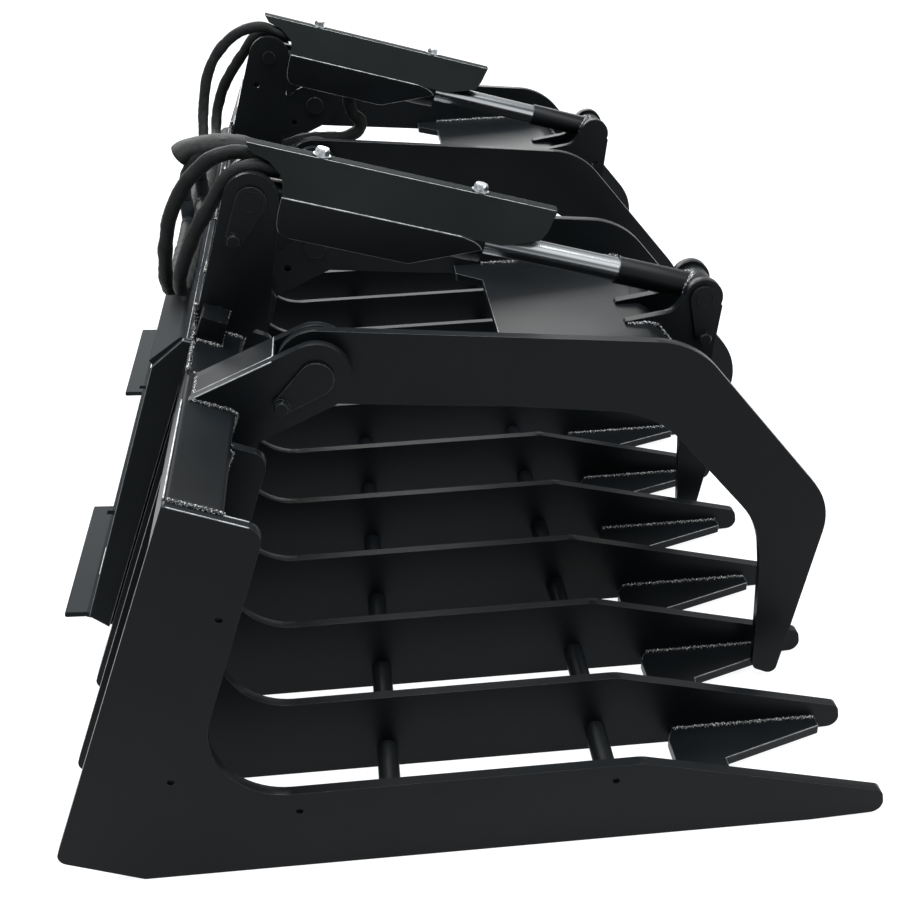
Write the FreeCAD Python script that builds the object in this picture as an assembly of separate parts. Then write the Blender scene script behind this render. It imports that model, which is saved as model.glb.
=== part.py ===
import FreeCAD
import Part
import math
import os

os.makedirs("parts", exist_ok=True)
V = FreeCAD.Vector

# Driving dimensions, mm.
# Sections are drawn with u forward from the heel of the tines and z up from
# the ground.  Stations along the width run from the left end face.
T = 15.9                 # plate of tines, arms, ears and towers
GAP = 193.7              # pitch of the inner tines
END_GAP = 187.3          # pitch of the first and last tine
INNER = 9                # number of inner gaps
WIDTH = 2 * END_GAP + INNER * GAP + T
XC = WIDTH / 2
Y0 = 437.6               # puts the origin under the middle of the depth
TILT = math.radians(21.5)        # lean of the rear frame
A = (99.0, 588.0)        # rear top corner of the tines
TUBE = 76.2              # square top tube
TUBE_WALL = 6.4
TUBE_ROUND = 8.0
BAR_R = 15.9             # cross bars through the tines
BARS = ((344.0, 34.0), (658.0, 37.0))
FIT = 0.03               # radial room of fixed bars and pins in their holes
RUN = 0.06               # radial room of turning pins in their holes
SIDE = 0.8               # room beside an eye or boss that turns
PIVOT = (283.0, 604.0)   # jaw hinge
PIN_R = 19.0
EAR_R = 49.0
BOSS_R = 30.0
ARM_INSET = 58.0         # outer arm, left of the third tine
ARM_SPACING = 524.0      # between the two arms of a jaw
EAR_GAP = 17.1           # room between an arm and each ear
TOWER = (202.0, 776.0)   # cylinder base pin
TOWER_R = 41.0
ROD_PIN = (886.0, 576.0)
ROD_EAR_R = 30.5
CYL_GAP = 66.8           # room between tower plates and between clevis ears
CYL_PIN_R = 12.7
BARREL_R = 34.0
BORE_R = 28.6
ROD_R = 19.05
PLATE_T = 9.5            # attach plate, hook and flange
PLATE_WIDE = 1165.8      # attach plate, end to end
PLATE_LEN = 533.0
FLAG_T = 6.4             # keeper plates of the pins
BOLT_R = 6.0             # keeper bolts
HOSE_R = 11.0

PLATE_X = (WIDTH - PLATE_WIDE) / 2
SWING = math.atan2(ROD_PIN[1] - TOWER[1], ROD_PIN[0] - TOWER[0])
REACH = math.hypot(ROD_PIN[0] - TOWER[0], ROD_PIN[1] - TOWER[1])
TINE_X = [0.0] + [END_GAP + i * GAP for i in range(INNER + 1)] + [WIDTH - T]
ARM_X = (TINE_X[2] - ARM_INSET, TINE_X[2] - ARM_INSET + ARM_SPACING)
CYL_X = (ARM_X[0] + ARM_X[1] + T) / 2
EAR_XL = CYL_X - CYL_GAP / 2 - T     # near plate of towers and clevises
EAR_XR = CYL_X + CYL_GAP / 2         # far plate
CROSSWISE = V(1, 0, 0)
UPRIGHT = V(0, 0, 1)
CYL_UP = V(0, math.sin(SWING), math.cos(SWING))
CYL_OUT = V(0, -math.cos(SWING), math.sin(SWING))


# Placing points.
def pt(x, u, z):
    return V(x - XC, Y0 - u, z)


def tilted(s, r):
    # s down along the rear plane from A, r out of it to the rear
    return (A[0] - s * math.sin(TILT) - r * math.cos(TILT),
            A[1] - s * math.cos(TILT) + r * math.sin(TILT))


def along(a, h):
    # a along the cylinder from its base pin, h above its axis
    return (TOWER[0] + a * math.cos(SWING) - h * math.sin(SWING),
            TOWER[1] + a * math.sin(SWING) + h * math.cos(SWING))


def on_cylinder(dx, a, h):
    u, z = along(a, h)
    return pt(CYL_X + dx, u, z)


# Basic shapes.
BOLT_RIM = 2.4           # flange of the bolts
KEEPER_BOLT_HEAD = (19.0, 8.0, 12.5)     # across, height, flange radius
SHANK_SHORT = 0.5        # keeper bolt, short of the ear's far face


def rounded(verts, place):
    # closed wire through corners (p, q, radius), set in space by place(p, q)
    count = len(verts)
    legs = []
    for i in range(count):
        before = verts[i - 1]
        corner = verts[i]
        after = verts[(i + 1) % count]
        radius = corner[2] if len(corner) > 2 else 0
        d1 = FreeCAD.Base.Vector2d(before[0] - corner[0], before[1] - corner[1])
        d2 = FreeCAD.Base.Vector2d(after[0] - corner[0], after[1] - corner[1])
        d1 = d1 * (1 / d1.length())
        d2 = d2 * (1 / d2.length())
        cosine = max(-1.0, min(1.0, d1.x * d2.x + d1.y * d2.y))
        half = math.acos(cosine) / 2
        if radius <= 0 or half > 0.4995 * math.pi:
            legs.append((corner, None, corner))
            continue
        back = radius / math.tan(half)
        reach = radius / math.sin(half) - radius
        b = d1 + d2
        b = b * (1 / b.length())
        legs.append(((corner[0] + d1.x * back, corner[1] + d1.y * back),
                     (corner[0] + b.x * reach, corner[1] + b.y * reach),
                     (corner[0] + d2.x * back, corner[1] + d2.y * back)))
    edges = []
    for i in range(count):
        start, middle, end = legs[i]
        if middle is not None:
            edges.append(Part.Arc(place(start[0], start[1]),
                                  place(middle[0], middle[1]),
                                  place(end[0], end[1])).toShape())
        following = legs[(i + 1) % count][0]
        p1 = place(end[0], end[1])
        p2 = place(following[0], following[1])
        if (p2 - p1).Length > 1e-4:
            edges.append(Part.makeLine(p1, p2))
    return Part.Wire(edges)


def plate(verts, x, thick=T):
    # flat plate square to the width, its outline in section coordinates
    wire = rounded(verts, lambda u, z: pt(x, u, z))
    return Part.Face(wire).extrude(CROSSWISE * thick)


def rod(x, c, r, length):
    return Part.makeCylinder(r, length, pt(x, c[0], c[1]), CROSSWISE)


def axis_rod(a, r, length, dx=0, h=0):
    # round bar along the left cylinder
    return Part.makeCylinder(r, length, on_cylinder(dx, a, h), CYL_OUT)


def up_rod(dx, a, h, r, length):
    # round bar square to the left cylinder, pointing up from it
    return Part.makeCylinder(r, length, on_cylinder(dx, a, h), CYL_UP)


def drop_plate(c, rc, e, re, x, thick):
    # plate round two circles and their outer tangents
    length = math.hypot(e[0] - c[0], e[1] - c[1])
    base = math.atan2(e[1] - c[1], e[0] - c[0])
    off = math.acos((rc - re) / length)
    corners = []
    for centre, r, sign in ((c, rc, 1), (e, re, 1), (e, re, -1), (c, rc, -1)):
        w = base + sign * off
        corners.append((centre[0] + r * math.cos(w), centre[1] + r * math.sin(w)))
    body = plate(corners, x, thick)
    return one([body, rod(x, c, rc, thick), rod(x, e, re, thick)])


def hex_prism(p, d, across, height, turn):
    # hexagon round p, its far end crowned
    side = d.cross(V(0, 0, 1) if abs(d.z) < 0.9 else V(0, 1, 0)).normalize()
    other = d.cross(side)
    corner_r = across / math.sqrt(3)
    ring = []
    for k in range(7):
        w = math.pi / 3 * k + turn
        ring.append(p + side * (corner_r * math.cos(w)) + other * (corner_r * math.sin(w)))
    prism = Part.Face(Part.makePolygon(ring)).extrude(d * height)
    crown = Part.makeCone(corner_r + height * 0.3, corner_r * 0.8, height, p, d)
    return prism.common(crown)


def flange_bolt(p, d, across, head, shank_r, shank, flange_r):
    # head outward along d from p, shank the other way
    disc = Part.makeCylinder(flange_r, BOLT_RIM, p, d)
    hexagon = hex_prism(p + d * BOLT_RIM, d, across, head, 0.3)
    stem = Part.makeCylinder(shank_r, shank, p, d * -1)
    return one([disc, hexagon, stem])


def mirrored(s):
    return s.mirror(V(0, 0, 0), CROSSWISE)


def one(shapes):
    out = shapes[0].fuse(shapes[1:]) if len(shapes) > 1 else shapes[0]
    return out.removeSplitter()


def largest(shape):
    return max(shape.Solids, key=lambda q: q.Volume).removeSplitter()


def save(name, shapes):
    if not isinstance(shapes, (list, tuple)):
        shapes = [shapes]
    solids = []
    for shape in shapes:
        solids.extend(shape.Solids)
    for solid in solids:
        if not solid.isValid() or solid.Volume < 1:
            print("CHECK", name, solid.isValid(), solid.Volume)
    out = solids[0] if len(solids) == 1 else Part.makeCompound(solids)
    out.exportStep("parts/%s.step" % name)


def save_pair(name, shapes):
    # the same piece on the left and, as its mirror image, on the right
    if not isinstance(shapes, (list, tuple)):
        shapes = [shapes]
    save(name % "left", shapes)
    save(name % "right", [mirrored(s) for s in shapes])


# Corners of the top tube: rear top, front top, front bottom, rear bottom.
TUBE_0 = tilted(0, 0)
TUBE_1 = tilted(0, -TUBE)
TUBE_2 = tilted(TUBE, -TUBE)
TUBE_3 = tilted(TUBE, 0)

# Tines.  The two end tines cover the ends of the tube, the others are notched
# under it.  Small dimples mark where the end tines were located for welding.
REAR_EDGE = 583.6        # from A down to the corner above the heel
TINE = [(A[0], A[1], 4), (216.0, 541.9, 21), (71.0, 129.0, 100),
        (690.0, 130.0, 60), (1033.0, 42.0, 12), (1038.5, 5.0, 18),
        (930.0, 0.0, 150), (0.0, 0.0, 8), tilted(REAR_EDGE, 0) + (15,)]
DIMPLES = ((148, 421), (56, 168), (220, 99), (652, 104))
DIMPLE_R = 5.0
DIMPLE_DEEP = 4.0
REAR_ROOM = 14.0         # the notch runs out behind the tube


def tine(x):
    body = plate(TINE, x)
    if x == TINE_X[0]:
        for d in DIMPLES:
            body = body.cut(rod(x - 1, d, DIMPLE_R, 1 + DIMPLE_DEEP))
        return body
    if x == TINE_X[-1]:
        for d in DIMPLES:
            body = body.cut(rod(x + T - DIMPLE_DEEP, d, DIMPLE_R, 1 + DIMPLE_DEEP))
        return body
    notch = plate([tilted(-REAR_ROOM, REAR_ROOM), tilted(-REAR_ROOM, -TUBE),
                   TUBE_2, tilted(TUBE, REAR_ROOM)], x - 1, T + 2)
    body = body.cut(notch)
    for bar in BARS:
        body = body.cut(rod(x - 1, bar, BAR_R + FIT, T + 2))
    return largest(body)


for number, station in enumerate(TINE_X):
    save("tine_%02d" % (number + 1), tine(station))

# Top tube and cross bars, between the end tines.
INSIDE = WIDTH - 2 * T


def tube_section(inset, radius, x, length):
    near = inset
    far = TUBE - inset
    corners = [tilted(near, -near), tilted(near, -far), tilted(far, -far), tilted(far, -near)]
    return plate([c + (radius,) for c in corners], x, length)


save("top_tube", tube_section(0, TUBE_ROUND, T, INSIDE).cut(
    tube_section(TUBE_WALL, TUBE_ROUND - TUBE_WALL + 1, T - 1, INSIDE + 2)))
save("cross_bar_rear", rod(T, BARS[0], BAR_R, INSIDE))
save("cross_bar_front", rod(T, BARS[1], BAR_R, INSIDE))

# Spreader plates, one V-notched plate between each two tines near the tips.
SPREAD_TOP = 25.0
SPREAD_REAR = 766.0
SPREAD_FRONT = 998.0
SPREAD_LEG = 20.0        # width of each leg at its tip
SPREAD_ROOT = 841.0      # bottom of the V
SPREAD_FLAT = 12.0        # half width of the V there
SPREAD_CHAMFER = (22.0, 10.0)


def spreader(xa, xb):
    middle = (xa + xb) / 2
    cx, cu = SPREAD_CHAMFER
    corners = [(xa, SPREAD_REAR + cu), (xa + cx, SPREAD_REAR), (xb - cx, SPREAD_REAR),
               (xb, SPREAD_REAR + cu), (xb, SPREAD_FRONT), (xb - SPREAD_LEG, SPREAD_FRONT),
               (middle + SPREAD_FLAT, SPREAD_ROOT), (middle - SPREAD_FLAT, SPREAD_ROOT),
               (xa + SPREAD_LEG, SPREAD_FRONT), (xa, SPREAD_FRONT)]
    wire = rounded(corners, lambda x, u: pt(x, u, SPREAD_TOP - T))
    return Part.Face(wire).extrude(UPRIGHT * T)


save("spreader_plates", [spreader(a + T, b) for a, b in zip(TINE_X, TINE_X[1:])])

# Attach plate with its two end plates, top hook and bottom flange, for the
# loader's quick coupler.
HOOK_REACH = 53.0        # hook lip out of the rear plane
HOOK_DROP = 51.0
LIP = 9.2                # hook lip across
HOOK_ROOT = 14.0
END_PLATE = [(0, 0), (0, 14), (56, 47), (521, 36), (533, 0)]     # side view, s and r
END_T = 9.5
end_side = [tilted(*c) for c in END_PLATE]
save("attach_plate", [plate([tilted(0, 0), tilted(PLATE_LEN, 0), tilted(PLATE_LEN, PLATE_T),
                             tilted(0, PLATE_T)], PLATE_X, PLATE_WIDE),
                      plate(end_side, PLATE_X - END_T, END_T),
                      plate(end_side, PLATE_X + PLATE_WIDE, END_T)])
LIP_IN = LIP * math.sin(math.radians(50))
LIP_DOWN = LIP * math.cos(math.radians(50))
save("attach_hook", plate([tilted(0, PLATE_T), tilted(-1, PLATE_T + 8) + (8,),
                           tilted(HOOK_DROP, HOOK_REACH) + (1.5,),
                           tilted(HOOK_DROP + LIP_DOWN, HOOK_REACH - LIP_IN) + (1.5,),
                           tilted(HOOK_ROOT, PLATE_T)], PLATE_X, PLATE_WIDE))

FLANGE_S = 520.0         # flange top face, down the rear plane
FLANGE_OUT = 41.0        # bend line of the flange tabs
TAB_LONG = 340.0
TAB_DEEP = 36.0
TAB_BEND = math.radians(18)
SLOT = (110.0, 25.0)     # lock pin slots, along and across
SLOT_IN = 108.0          # from the end of the plate
SLOT_OUT = 11.5          # from the plane of the plate
NICK = (14.0, 8.0)       # half depth second
NICK_IN = 30.0


def flange_cut(x, length, near, far, radius):
    above = FLANGE_S - 20
    below = FLANGE_S + 60
    corners = ((x, near), (x + length, near), (x + length, far), (x, far))

    def place(station, out):
        u, z = tilted(above, out)
        return pt(station, u, z)

    top = place(0, 0)
    u, z = tilted(below, 0)
    wire = rounded([c + (radius,) for c in corners], place)
    return Part.Face(wire).extrude(pt(0, u, z) - top)


bent_s = math.sin(TAB_BEND)
bent_c = math.cos(TAB_BEND)
tab = [tilted(FLANGE_S, FLANGE_OUT),
       tilted(FLANGE_S + TAB_DEEP * bent_s, FLANGE_OUT + TAB_DEEP * bent_c) + (3,),
       tilted(FLANGE_S + TAB_DEEP * bent_s + PLATE_T * bent_c,
              FLANGE_OUT + TAB_DEEP * bent_c - PLATE_T * bent_s) + (3,),
       tilted(FLANGE_S + PLATE_T, FLANGE_OUT)]
right_end = PLATE_X + PLATE_WIDE
flange = one([plate([tilted(FLANGE_S, PLATE_T), tilted(FLANGE_S, FLANGE_OUT),
                     tilted(FLANGE_S + PLATE_T, FLANGE_OUT),
                     tilted(FLANGE_S + PLATE_T, PLATE_T)], PLATE_X, PLATE_WIDE),
              plate(tab, PLATE_X, TAB_LONG), plate(tab, right_end - TAB_LONG, TAB_LONG)])
for x in (PLATE_X + SLOT_IN, right_end - SLOT_IN - SLOT[0]):
    flange = flange.cut(flange_cut(x, SLOT[0], SLOT_OUT, SLOT_OUT + SLOT[1], 8))
for x in (PLATE_X + TAB_LONG - NICK_IN, right_end - TAB_LONG + NICK_IN - NICK[0]):
    flange = flange.cut(flange_cut(x, NICK[0], FLANGE_OUT - NICK[1], FLANGE_OUT + NICK[1], 0))
save("attach_flange", flange)

# Hinge brackets.  Each has two ears on the tube and a cover plate between them.
# A pin with a welded keeper plate crosses both ears, and one bolt holds it.
EAR_TOP = math.radians(22.8)     # slope of the top edge
EAR_UNDER = math.radians(24.2)   # slope of the lower edge
EAR_LONG = 172.0
FLAG_BOLT = (233.0, 567.0)
HINGE_FLAG = (24.5, 12.5)        # keeper plate radii, round the pin and the bolt
PIN_PROUD = 7.0
COVER_T = 8.0
COVER_ENDS = (160.0, 41.0)


def ear_line(back, up):
    # on the straight top edge of an ear, back from the round and up off it
    u = PIVOT[0] - EAR_R * math.sin(EAR_TOP) - back * math.cos(EAR_TOP) - up * math.sin(EAR_TOP)
    z = PIVOT[1] + EAR_R * math.cos(EAR_TOP) - back * math.sin(EAR_TOP) + up * math.cos(EAR_TOP)
    return (u, z)


def ear(x):
    low = (PIVOT[0] + EAR_R * math.sin(EAR_UNDER), PIVOT[1] - EAR_R * math.cos(EAR_UNDER))
    heel = (low[0] - EAR_LONG * math.cos(EAR_UNDER), low[1] - EAR_LONG * math.sin(EAR_UNDER))
    body = plate([(A[0] + 1, A[1] - 1), ear_line(EAR_LONG, 0), ear_line(0, 0), low, heel], x)
    body = body.fuse(rod(x, PIVOT, EAR_R, T))
    behind = plate([tilted(0, TUBE), TUBE_1, TUBE_2, tilted(TUBE, TUBE)], x - 1, T + 2)
    body = body.cut(behind)
    body = body.cut(rod(x - 1, PIVOT, PIN_R + FIT, T + 2))
    body = body.cut(rod(x - 1, FLAG_BOLT, BOLT_R + FIT, T + 2))
    return largest(body)


def keeper(x, c, radii, bolt_at, side):
    # keeper plate on the outer face x of an ear, with its bolt; side -1 is left
    start = x - FLAG_T if side < 0 else x
    flag = drop_plate(c, radii[0], bolt_at, radii[1], start, FLAG_T)
    flag = flag.cut(rod(start - 1, bolt_at, BOLT_R + FIT, FLAG_T + 2))
    head = pt(x + side * FLAG_T, bolt_at[0], bolt_at[1])
    across, height, rim_r = KEEPER_BOLT_HEAD
    bolt = flange_bolt(head, CROSSWISE * side, across, height, BOLT_R, FLAG_T + T - SHANK_SHORT, rim_r)
    return flag, bolt


def hinge(arm_x, side):
    # bracket, pin and bolt for one arm; the keeper is on the ear of that side
    left = arm_x - EAR_GAP - T
    right = arm_x + T + EAR_GAP
    far, near = COVER_ENDS
    slip = COVER_T * math.tan(EAR_TOP)
    cover = plate([ear_line(far, 0), ear_line(near, 0) + (1,), ear_line(near, -COVER_T) + (1,),
                   ear_line(far - slip * 4, -COVER_T)], left + T, right - left - T)
    bracket = one([ear(left), ear(right), cover])
    span = right + T - left
    if side < 0:
        flag, bolt = keeper(left, PIVOT, HINGE_FLAG, FLAG_BOLT, side)
        pin = rod(left - FLAG_T, PIVOT, PIN_R, FLAG_T + span + PIN_PROUD)
    else:
        flag, bolt = keeper(right + T, PIVOT, HINGE_FLAG, FLAG_BOLT, side)
        pin = rod(left - PIN_PROUD, PIVOT, PIN_R, PIN_PROUD + span + FLAG_T)
    return bracket, one([pin, flag]), bolt


frame_bolts = []
hinge_pins = []
for number, (arm_x, side) in enumerate(((ARM_X[0], -1), (ARM_X[1], 1))):
    bracket, pin, bolt = hinge(arm_x, side)
    save("hinge_bracket_%d" % (number + 1), bracket)
    save("hinge_bracket_%d" % (4 - number), mirrored(bracket))
    hinge_pins += [pin, mirrored(pin)]
    frame_bolts += [bolt, mirrored(bolt)]
save("hinge_pins", hinge_pins)

# Towers.  Two plates stand on the tube and hold the cylinder's base pin, with a
# block beside the foot of each.
TOWER_BOLT = (171.0, 720.0)
TOWER_FLAG = (22.5, 12.5)
TOWER_FOOT = (211.0, 588.0, 14)
TOWER_REAR = math.radians(162)   # where the rear edge meets the round
TOWER_FRONT = math.radians(-9)
TOWER_PROUD = 6.0
BLOCK_LONG = 55.0
BLOCK_WIDE = 40.0
BLOCK_HIGH = 38.0
BLOCK_IN = 3.0


def tower_plate(x):
    rear = (TOWER[0] + TOWER_R * math.cos(TOWER_REAR), TOWER[1] + TOWER_R * math.sin(TOWER_REAR))
    front = (TOWER[0] + TOWER_R * math.cos(TOWER_FRONT),
             TOWER[1] + TOWER_R * math.sin(TOWER_FRONT))
    body = plate([TUBE_0, rear, TOWER, front, TOWER_FOOT, TUBE_1], x)
    body = body.fuse(rod(x, TOWER, TOWER_R, T))
    body = body.cut(rod(x - 1, TOWER, CYL_PIN_R + FIT, T + 2))
    body = body.cut(rod(x - 1, TOWER_BOLT, BOLT_R + FIT, T + 2))
    return largest(body)


def block(x):
    near = -BLOCK_IN
    far = -BLOCK_IN - BLOCK_WIDE
    return plate([tilted(0, near), tilted(0, far), tilted(-BLOCK_HIGH, far) + (3,),
                  tilted(-BLOCK_HIGH, near) + (3,)], x, BLOCK_LONG)


save_pair("tower_%s", one([tower_plate(EAR_XL), tower_plate(EAR_XR),
                           block(EAR_XL - BLOCK_LONG), block(EAR_XR + T)]))
flag, bolt = keeper(EAR_XL, TOWER, TOWER_FLAG, TOWER_BOLT, -1)
tower_pin = one([rod(EAR_XL - FLAG_T, TOWER, CYL_PIN_R,
                     FLAG_T + 2 * T + CYL_GAP + TOWER_PROUD), flag])
save("tower_pins", [tower_pin, mirrored(tower_pin)])
frame_bolts += [bolt, mirrored(bolt)]
save("frame_pin_bolts", frame_bolts)

# Jaws, drawn closed.  Each has two arms, a bent cross plate and a clevis.
ARM_R = 55.0
ARM_TOP = math.radians(83.8)     # where the back edge leaves the hinge round
ARM_UNDER = math.radians(-95.5)
ARM = [(817.4, 602.3, 130), (1042.0, 319.8, 105), (977.0, 3.0, 13), (941.0, 20.0, 11),
       (938.0, 215.0, 150), (930.0, 294.0, 150), (764.5, 495.5, 160), (560.0, 523.0, 700)]


def hinge_round(angle):
    return (PIVOT[0] + ARM_R * math.cos(angle), PIVOT[1] + ARM_R * math.sin(angle))


def arm(x):
    body = plate([hinge_round(ARM_TOP)] + ARM + [hinge_round(ARM_UNDER), PIVOT], x)
    reach = EAR_GAP - SIDE
    body = body.fuse([rod(x, PIVOT, ARM_R, T), rod(x - reach, PIVOT, BOSS_R, T + 2 * reach)])
    return body.cut(rod(x - EAR_GAP, PIVOT, PIN_R + RUN, T + 2 * EAR_GAP)).removeSplitter()


save_pair("jaw_%s_arm_outer", arm(ARM_X[0]))
save_pair("jaw_%s_arm_inner", arm(ARM_X[1]))

# Cross plate between the arms, bent down at the front to follow them and cut
# back at its rear corners.
CROSS_T = 12.7
CROSS_TOP = 541.0
CROSS_REAR = 520.0
CROSS_BEND = (808.0, CROSS_TOP)
CROSS_FRONT = (888.0, 441.0)
BEND_R = 30.0
CROSS_FALL = math.atan2(CROSS_TOP - CROSS_FRONT[1], CROSS_FRONT[0] - CROSS_BEND[0])
CORNER_CUT = ((40.0, 521.0), (78.0, 562.0))      # in from each arm, and forward
SHORT = CROSS_T * math.tan(CROSS_FALL / 2)
under_bend = (CROSS_BEND[0] - SHORT, CROSS_TOP - CROSS_T)
under_front = (CROSS_FRONT[0] - CROSS_T * math.sin(CROSS_FALL),
               CROSS_FRONT[1] - CROSS_T * math.cos(CROSS_FALL))
cross_a = ARM_X[0] + T
cross_b = ARM_X[1]
cross = plate([(CROSS_REAR, CROSS_TOP), CROSS_BEND + (BEND_R,), CROSS_FRONT, under_front,
               under_bend + (BEND_R - CROSS_T,), (CROSS_REAR, CROSS_TOP - CROSS_T)],
              cross_a, cross_b - cross_a)
(cut_x1, cut_u1), (cut_x2, cut_u2) = CORNER_CUT
cut_back = [(cross_a + cut_x1, CROSS_REAR - 1), (cross_a + cut_x1, cut_u1),
            (cross_a + cut_x2, cut_u2), (cross_b - cut_x2, cut_u2),
            (cross_b - cut_x1, cut_u1), (cross_b - cut_x1, CROSS_REAR - 1)]
wire = rounded(cut_back, lambda x, u: pt(x, u, CROSS_TOP - 2 * CROSS_T))
cross = cross.cut(Part.Face(wire).extrude(UPRIGHT * 3 * CROSS_T))
save_pair("jaw_%s_cross_plate", cross)

# Clevis for the rod end: two ears that stand on the bend of the cross plate.
ROD_BOLT = (888.0, 512.0)
ROD_FLAG = (22.0, 13.0)
HEEL_U = 762.0


def clevis_ear(x):
    c = ROD_PIN
    r = ROD_EAR_R
    corners = [(c[0] + r, c[1] - 14), (CROSS_FRONT[0] + 12, CROSS_FRONT[1] - 1), CROSS_FRONT,
               CROSS_BEND, (HEEL_U, CROSS_TOP), (HEEL_U + 2, CROSS_TOP + 5, 3),
               (HEEL_U + 76, CROSS_TOP + 15, 26), (c[0] - r, c[1] + 4), (c[0], c[1] + 10)]
    body = plate(corners, x).fuse(rod(x, c, r, T))
    below = plate([(HEEL_U - 60, CROSS_TOP), CROSS_BEND + (BEND_R,), CROSS_FRONT,
                   (CROSS_FRONT[0] - 40, CROSS_FRONT[1] - 60),
                   (HEEL_U - 60, CROSS_FRONT[1] - 40)], x - 1, T + 2)
    body = body.cut(below).cut(rod(x - 1, ROD_BOLT, BOLT_R + FIT, T + 2))
    return largest(body)


save_pair("jaw_%s_clevis", [clevis_ear(EAR_XL), clevis_ear(EAR_XR)])
flag, bolt = keeper(EAR_XL, ROD_PIN, ROD_FLAG, ROD_BOLT, -1)
save_pair("jaw_%s_pin_flag", flag)
save_pair("jaw_%s_flag_bolt", bolt)

# Cylinders: barrel with base eye, gland, guard posts and two ports.  Both hoses
# reach the base end, and a steel line runs on to the port at the front.
EYE_W = CYL_GAP - 2 * SIDE
BASE_EYE_R = 25.4
NECK_R = 25.4
BARREL = (44.0, 345.0)           # shell ends, from the base pin
WELD_IN = 2.0                    # how far joined bodies reach into each other
GLAND_END = 357.0
GLAND_R = 33.0
CHAMBER = (78.0, 340.0)
POST_A = (90.0, 334.0)           # guard posts
POST_R = 9.0
PORT_A = 66.0                    # base port and the start of the front port's line
PORT_DX = (11.3, -11.3)
PORT_R = 9.5
PORT_TOP = 36.0
RISER_R = 9.0
RISER_TOP = 6.0                  # riser above the hose's axis
FERRULE_R = 11.0
ELBOW_BACK = 27.0                # fitting, from the port back to the hose
HOSE_H = 44.2                    # hose ends above the cylinder's axis
LINE_R = 6.0
LINE_DX = -17.0
LINE_H = 40.0
LINE_END = 318.0                 # front port
LINE_BOSS = (8.5, 33.0)          # radius and top
LINE_CAP = (7.5, 10.5)           # radius and height
GUARD_H = 75.3                   # ridge of the guard above the axis
SHEET = 4.8
GUARD_BOLT_R = 5.0
BOLT_DEEP = 26.0

lug = rod(CYL_X - EYE_W / 2, TOWER, BASE_EYE_R, EYE_W)
neck = axis_rod(0, NECK_R, BARREL[0] + WELD_IN)
shell = axis_rod(BARREL[0], BARREL_R, BARREL[1] - BARREL[0])
gland = axis_rod(BARREL[1], GLAND_R, GLAND_END - BARREL[1])
posts = [up_rod(0, a, 0, POST_R, GUARD_H - SHEET) for a in POST_A]
ports = [up_rod(dx, PORT_A, 0, PORT_R, PORT_TOP) for dx in PORT_DX]
front_boss = up_rod(LINE_DX, LINE_END, 0, *LINE_BOSS)
barrel = one([lug, neck, shell, gland, front_boss] + posts + ports)
barrel = barrel.cut(axis_rod(CHAMBER[0], BORE_R, CHAMBER[1] - CHAMBER[0]))
barrel = barrel.cut(axis_rod(CHAMBER[1] - 1, ROD_R + RUN, GLAND_END - CHAMBER[1] + 2))
barrel = barrel.cut(rod(CYL_X - CYL_GAP, TOWER, CYL_PIN_R + RUN, 2 * CYL_GAP))
for a in POST_A:
    barrel = barrel.cut(up_rod(0, a, GUARD_H - SHEET - BOLT_DEEP, GUARD_BOLT_R + FIT, BOLT_DEEP + 1))


def elbow(dx):
    # fitting on a port, its ferrule pointing back to the towers
    riser = up_rod(dx, PORT_A, PORT_TOP, RISER_R, HOSE_H + RISER_TOP - PORT_TOP)
    ferrule = axis_rod(PORT_A - ELBOW_BACK, FERRULE_R, ELBOW_BACK - RISER_R + WELD_IN, dx, HOSE_H)
    return one([riser, ferrule])


front_line = axis_rod(PORT_A, LINE_R, LINE_END - PORT_A, LINE_DX, LINE_H)
front_cap = up_rod(LINE_DX, LINE_END, LINE_BOSS[1], *LINE_CAP)
save_pair("cylinder_%s_barrel", [barrel, elbow(PORT_DX[0]),
                                 one([elbow(PORT_DX[1]), front_line, front_cap])])

# Piston and rod, rod end with its sleeve and eye, and the pin through the eye.
PISTON_A = (290.0, 324.0)
PISTON_ROOM = 0.1
SLEEVE_A = 577.0
SLEEVE_R = 21.5
ROD_EYE_R = 25.5
PIN_END_ROOM = 0.3
rod_bar = axis_rod(PISTON_A[0], ROD_R, SLEEVE_A - PISTON_A[0])
piston = axis_rod(PISTON_A[0], BORE_R - PISTON_ROOM, PISTON_A[1] - PISTON_A[0])
save_pair("cylinder_%s_rod", one([rod_bar, piston]))
sleeve = axis_rod(SLEEVE_A, SLEEVE_R, REACH - SLEEVE_A)
eye = rod(CYL_X - EYE_W / 2, ROD_PIN, ROD_EYE_R, EYE_W)
rod_end = one([sleeve, eye]).cut(rod(CYL_X - CYL_GAP, ROD_PIN, CYL_PIN_R + FIT, 2 * CYL_GAP))
save_pair("cylinder_%s_rod_end", rod_end)
save_pair("cylinder_%s_rod_pin", rod(CYL_X - CYL_GAP / 2 + PIN_END_ROOM, ROD_PIN, CYL_PIN_R,
                                     CYL_GAP - 2 * PIN_END_ROOM))

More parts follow.
